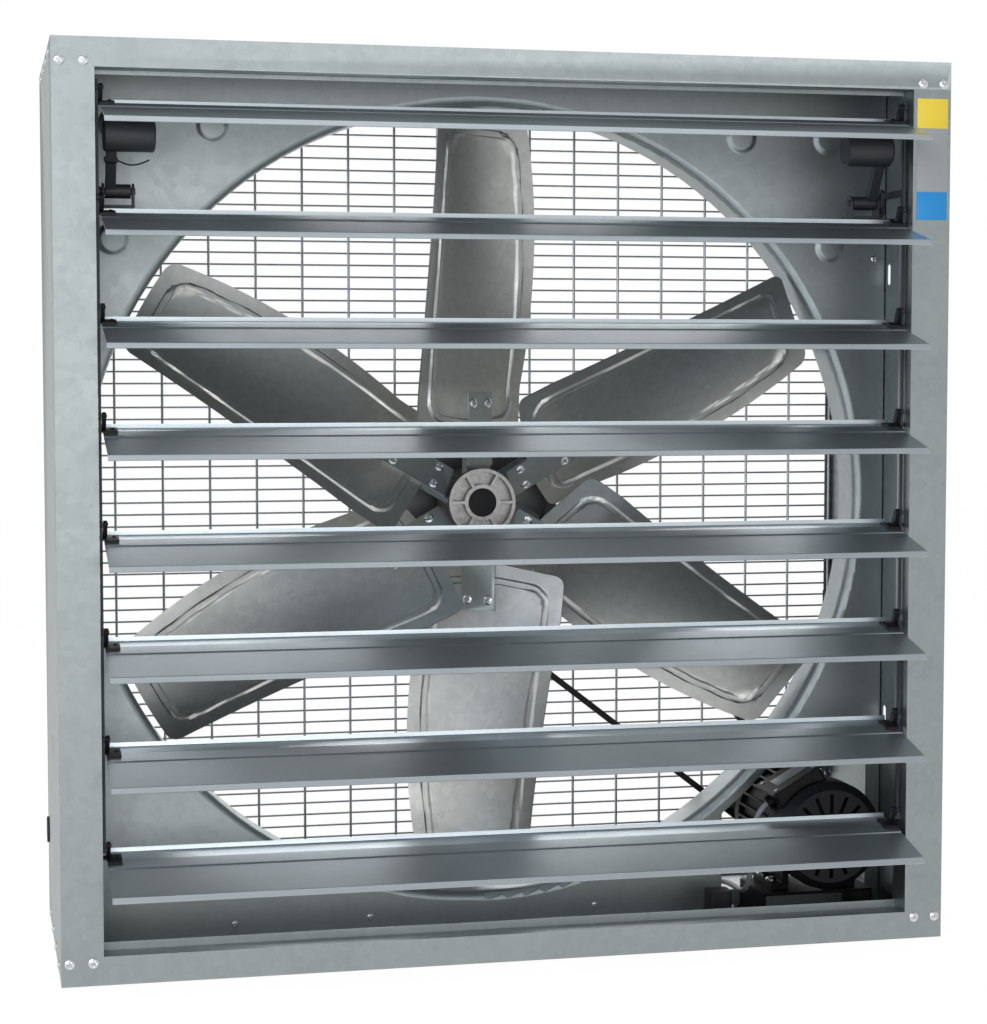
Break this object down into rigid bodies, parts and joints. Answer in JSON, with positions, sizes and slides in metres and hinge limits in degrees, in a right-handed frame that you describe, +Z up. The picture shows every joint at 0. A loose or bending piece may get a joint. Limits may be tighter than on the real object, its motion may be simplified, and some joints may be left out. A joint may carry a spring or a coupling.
{
  "type": "belt driven axial extractor fan",
  "caption": "Axial extractor fan in a square galvanised casing, with a tilting louvre shutter in front, a belt driven impeller in a ring panel and a wire guard behind.",
  "frame": {"origin": "centre of the casing's bottom face", "axes": "+Z up, +Y from the shutters to the wire guard, +X to the right seen from the shutters"},
  "size_m": [1.1056, 0.4762, 1.1],
  "materials": {
    "galvanised": "satin",
    "louver_sheet": "satin",
    "steel_zinc": "bright zinc plate",
    "blade_steel": "polished",
    "black_plastic": "matt",
    "cast_aluminium": "as cast",
    "cast_iron_grey": "painted",
    "belt_rubber": "matt",
    "motor_black": "semi-matt",
    "lead_grey": "matt",
    "rubber_black": "matt"
  },
  "bodies": {
    "casing": {"side_panel_left": "galvanised", "side_panel_right": "galvanised", "bottom_panel": "galvanised", "top_panel": "galvanised", "front_stile_left": "galvanised", "front_stile_right": "galvanised", "front_rail_bottom": "galvanised", "front_rail_top": "galvanised", "ring_panel": "galvanised", "support_beam": "galvanised", "guard_bars": "galvanised", "guard_wires": "galvanised", "guard_clips": "galvanised", "frame_screws": "steel_zinc", "axle": "steel_zinc", "hammer_bracket_left": "motor_black", "hammer_bracket_right": "motor_black", "drive_belt": "belt_rubber", "motor_body": "motor_black", "motor_mount": "motor_black", "motor_fan_cover": "black_plastic", "motor_terminal_box": "black_plastic", "motor_lead": "lead_grey", "cable_grommet": "rubber_black"},
    "impeller": {"hub": "cast_aluminium", "hub_cap": "black_plastic", "ball_bearings": "steel_zinc", "star_arms": "galvanised", "blade_bolts": "steel_zinc", "big_pulley": "cast_iron_grey", "fan_blade_1": "blade_steel", "fan_blade_2": "blade_steel", "fan_blade_3": "blade_steel", "fan_blade_4": "blade_steel", "fan_blade_5": "blade_steel", "fan_blade_6": "blade_steel"},
    "motor_rotor": {"motor_shaft": "steel_zinc", "motor_pulley": "cast_iron_grey"},
    "louver_1_body": {"louver_1": "louver_sheet", "louver_clips_1": "black_plastic"},
    "louver_2_body": {"louver_2": "louver_sheet", "louver_clips_2": "black_plastic"},
    "louver_3_body": {"louver_3": "louver_sheet", "louver_clips_3": "black_plastic"},
    "louver_4_body": {"louver_4": "louver_sheet", "louver_clips_4": "black_plastic"},
    "louver_5_body": {"louver_5": "louver_sheet", "louver_clips_5": "black_plastic"},
    "louver_6_body": {"louver_6": "louver_sheet", "louver_clips_6": "black_plastic"},
    "louver_7_body": {"louver_7": "louver_sheet", "louver_clips_7": "black_plastic"},
    "louver_8_body": {"louver_8": "louver_sheet", "louver_clips_8": "black_plastic"},
    "link_rod_left_body": {"link_rod_left": "motor_black"},
    "hammer_left": {"hammer_arm_left": "motor_black", "hammer_weight_left": "motor_black"},
    "link_rod_right_body": {"link_rod_right": "motor_black"},
    "hammer_right": {"hammer_arm_right": "motor_black", "hammer_weight_right": "motor_black"}
  },
  "joints": [
    {"name": "impeller_spin", "type": "hinge", "parent": "casing", "child": "impeller", "pos_m": [0, 0.033, 0.548], "axis": [0, 1, 0], "continuous": true},
    {"name": "motor_spin", "type": "hinge", "parent": "casing", "child": "motor_rotor", "pos_m": [0.425, 0, 0.122], "axis": [0, 1, 0], "continuous": true},
    {"name": "louver_1_hinge", "type": "hinge", "parent": "casing", "child": "louver_1_body", "pos_m": [0, -0.172, 1.0296], "axis": [1, 0, 0], "range_deg": [0, 72]},
    {"name": "louver_2_hinge", "type": "hinge", "parent": "casing", "child": "louver_2_body", "pos_m": [0, -0.172, 0.9033], "axis": [1, 0, 0], "range_deg": [0, 72]},
    {"name": "louver_3_hinge", "type": "hinge", "parent": "casing", "child": "louver_3_body", "pos_m": [0, -0.172, 0.777], "axis": [1, 0, 0], "range_deg": [0, 72]},
    {"name": "louver_4_hinge", "type": "hinge", "parent": "casing", "child": "louver_4_body", "pos_m": [0, -0.172, 0.6507], "axis": [1, 0, 0], "range_deg": [0, 72]},
    {"name": "louver_5_hinge", "type": "hinge", "parent": "casing", "child": "louver_5_body", "pos_m": [0, -0.172, 0.5244], "axis": [1, 0, 0], "range_deg": [0, 72]},
    {"name": "louver_6_hinge", "type": "hinge", "parent": "casing", "child": "louver_6_body", "pos_m": [0, -0.172, 0.3981], "axis": [1, 0, 0], "range_deg": [0, 72]},
    {"name": "louver_7_hinge", "type": "hinge", "parent": "casing", "child": "louver_7_body", "pos_m": [0, -0.172, 0.2718], "axis": [1, 0, 0], "range_deg": [0, 72]},
    {"name": "louver_8_hinge", "type": "hinge", "parent": "casing", "child": "louver_8_body", "pos_m": [0, -0.172, 0.1455], "axis": [1, 0, 0], "range_deg": [0, 72]},
    {"name": "link_rod_left_pin", "type": "hinge", "parent": "louver_1_body", "child": "link_rod_left_body", "pos_m": [-0.4977, -0.17864, 1.04525], "axis": [1, 0, 0], "range_deg": [-72, 0]},
    {"name": "link_rod_right_pin", "type": "hinge", "parent": "louver_1_body", "child": "link_rod_right_body", "pos_m": [0.4977, -0.17864, 1.04525], "axis": [1, 0, 0], "range_deg": [-72, 0]},
    {"name": "hammer_left_hinge", "type": "hinge", "parent": "casing", "child": "hammer_left", "pos_m": [-0.47, -0.112, 0.931], "axis": [1, 0, 0], "range_deg": [-64.8, 0]},
    {"name": "hammer_right_hinge", "type": "hinge", "parent": "casing", "child": "hammer_right", "pos_m": [0.47, -0.112, 0.931], "axis": [1, 0, 0], "range_deg": [-64.8, 0]}
  ],
  "couplings": [
    {"joint": "motor_spin", "follows": "impeller_spin", "ratio": 2.7674},
    {"joint": "louver_2_hinge", "follows": "louver_1_hinge", "ratio": 1},
    {"joint": "louver_3_hinge", "follows": "louver_1_hinge", "ratio": 1},
    {"joint": "louver_4_hinge", "follows": "louver_1_hinge", "ratio": 1},
    {"joint": "louver_5_hinge", "follows": "louver_1_hinge", "ratio": 1},
    {"joint": "louver_6_hinge", "follows": "louver_1_hinge", "ratio": 1},
    {"joint": "louver_7_hinge", "follows": "louver_1_hinge", "ratio": 1},
    {"joint": "louver_8_hinge", "follows": "louver_1_hinge", "ratio": 1},
    {"joint": "link_rod_left_pin", "follows": "louver_1_hinge", "ratio": -1},
    {"joint": "link_rod_right_pin", "follows": "louver_1_hinge", "ratio": -1},
    {"joint": "hammer_left_hinge", "follows": "louver_1_hinge", "ratio": -0.9},
    {"joint": "hammer_right_hinge", "follows": "louver_1_hinge", "ratio": -0.9}
  ]
}
